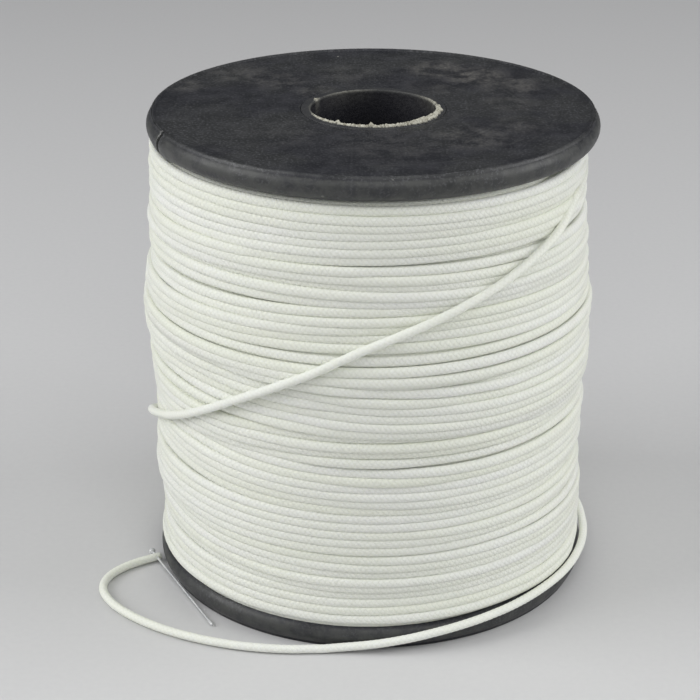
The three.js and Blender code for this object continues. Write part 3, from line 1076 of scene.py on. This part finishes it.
def nylon_material():
    shader = Shader("clear_nylon_moulded", Roughness=0.3)
    shader.surface.inputs["Transmission Weight"].default_value = 0.35
    grain = shader.noise(shader.place(), 900, 3)
    base = shader.mix(shader.ramp(grain, 0.3, 0.7), colour(0.62, 0.64, 0.66), colour(0.82, 0.83, 0.82))
    return shader.finish(Base_Color=base, Normal=shader.bump(grain, 0.03 * MM))


def tape_material():
    shader = Shader("start_tape_clear", Roughness=0.25)
    grain = shader.noise(shader.place(), 500, 3)
    base = shader.mix(shader.ramp(grain, 0.3, 0.7), colour(0.6, 0.58, 0.48), colour(0.75, 0.73, 0.64))
    return shader.finish(Base_Color=base, Normal=shader.bump(grain, 0.02 * MM))


def paint(made, material):
    made.data.materials.clear()
    made.data.materials.append(material)


# ---- studio ----

VIEW_DISTANCE = 342.6 * MM
VIEW_ELEVATION = math.radians(22.9)
VIEW_ROLL = 0.0051
FOCAL_SHARE = 2.94743  # focal length over frame width
SHIFT_X, SHIFT_Y = -0.0317, -0.0244


def studio():
    """A pale floor, soft light from all round and four softboxes."""
    scene = bpy.context.scene
    corners = [[-3, -3, 0], [3, -3, 0], [3, 3, 0], [-3, 3, 0]]
    floor = mesh_object("floor", corners, [[0, 1, 2, 3]], smooth=False)
    floor.location.z = cad_low.z - 0.02 * MM
    shader = Shader("floor_paper", Roughness=0.8)
    grain = shader.noise(shader.place(), 900, 3)
    tone = shader.mix(grain, colour(0.62, 0.62, 0.625), colour(0.66, 0.66, 0.66))
    paint(floor, shader.finish(Base_Color=tone))
    world = bpy.data.worlds.new("studio")
    world.use_nodes = True
    light_world(world.node_tree)
    scene.world = world
    scene.view_settings.view_transform = "Standard"
    softbox("left", (-0.55, -0.12, 0.33), 0.42, 2.35)
    softbox("right", (0.56, -0.07, 0.29), 0.42, 1.8)
    softbox("top", (0.1, 0.25, 0.95), 0.6, 1.2)
    softbox("front", (0.06, -0.46, 0.46), 0.38, 0.85)


def light_world(tree):
    """Soft light from all round, dimmer from behind so that the black faces stay dark."""
    way = tree.nodes.new("ShaderNodeTexCoord").outputs["Generated"]
    split = tree.nodes.new("ShaderNodeSeparateXYZ")
    tree.links.new(way, split.inputs[0])
    dim = tree.nodes.new("ShaderNodeMapRange")
    tree.links.new(split.outputs[1], dim.inputs[0])
    for socket, value in zip(list(dim.inputs)[1:5], (-0.3, 0.8, 0.34, 0.09)):
        socket.default_value = value
    background = tree.nodes["Background"]
    background.inputs[0].default_value = colour(0.97, 0.98, 1.0)
    tree.links.new(dim.outputs[0], background.inputs[1])


def softbox(name, place, size, power):
    light = bpy.data.lights.new(name, "AREA")
    light.shape = "SQUARE"
    light.size = size
    light.energy = power
    made = bpy.data.objects.new(name, light)
    made.location = place
    made.rotation_mode = "QUATERNION"
    made.rotation_quaternion = (-Vector(place)).to_track_quat("-Z", "Y")
    bpy.context.scene.collection.objects.link(made)


def camera():
    """The camera, in front of the reel and above it, with its frame shifted."""
    data = bpy.data.cameras.new("view")
    data.sensor_width = 36
    data.lens = 36 * FOCAL_SHARE
    data.shift_x, data.shift_y = SHIFT_X, SHIFT_Y
    data.clip_start, data.clip_end = 0.01, 10
    made = bpy.data.objects.new("view", data)
    back = Vector((0, -math.cos(VIEW_ELEVATION), math.sin(VIEW_ELEVATION)))
    made.location = back * VIEW_DISTANCE
    made.rotation_mode = "QUATERNION"
    roll = Quaternion((0, 0, 1), VIEW_ROLL)
    made.rotation_quaternion = (-back).to_track_quat("-Z", "Y") @ roll
    bpy.context.scene.collection.objects.link(made)
    bpy.context.scene.camera = made


# ---- the whole ----


def string_objects():
    """The winding and the loose string, each of which runs on a little inside the other."""
    line = laid_on_winding(loose_line(LOOSE_STEP))
    clock, under, over = wind_the_reel(line)
    middle, outward = on_reel(clock, *over)
    lead = through(middle[-5:], LOOSE_STEP)[-int(LAP / LOOSE_STEP):-1]
    onward = line[8:int(LAP / LOOSE_STEP):8]
    middle = np.vstack([middle, onward])
    outward = np.vstack([outward, unit(onward * [1, 1, 0])])
    steps = np.linalg.norm(np.diff(middle, axis=0), axis=1)
    lengths = np.concatenate([[0], np.cumsum(steps)])
    white = string_material("white_string_braid", 0.095 * MM, 0.25)
    for made in winding_objects(clock, under, middle, outward, lengths):
        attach(made, "reel")
        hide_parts("wound_string")
        paint(made, white)
    before = lengths[-1 - len(onward)]
    loose = loose_object(np.vstack([lead, line]), before, len(lead) * LOOSE_STEP)
    cut_at = before + len(line) * LOOSE_STEP
    paint(loose, string_material("white_string_loose", 0.02 * MM, 0.2, cut_at))


def main():
    string_objects()
    plastic = black_plastic_material()
    paint(flange_object("top_flange_moulding", "top_flange", 1, 11), plastic)
    paint(flange_object("bottom_flange_moulding", "bottom_flange", -1, 12), plastic)
    paint(hub_object(), hub_material())
    paint(pin_object(), nylon_material())
    paint(frame["nodes"]["start_tape"], tape_material())
    studio()
    camera()


main()
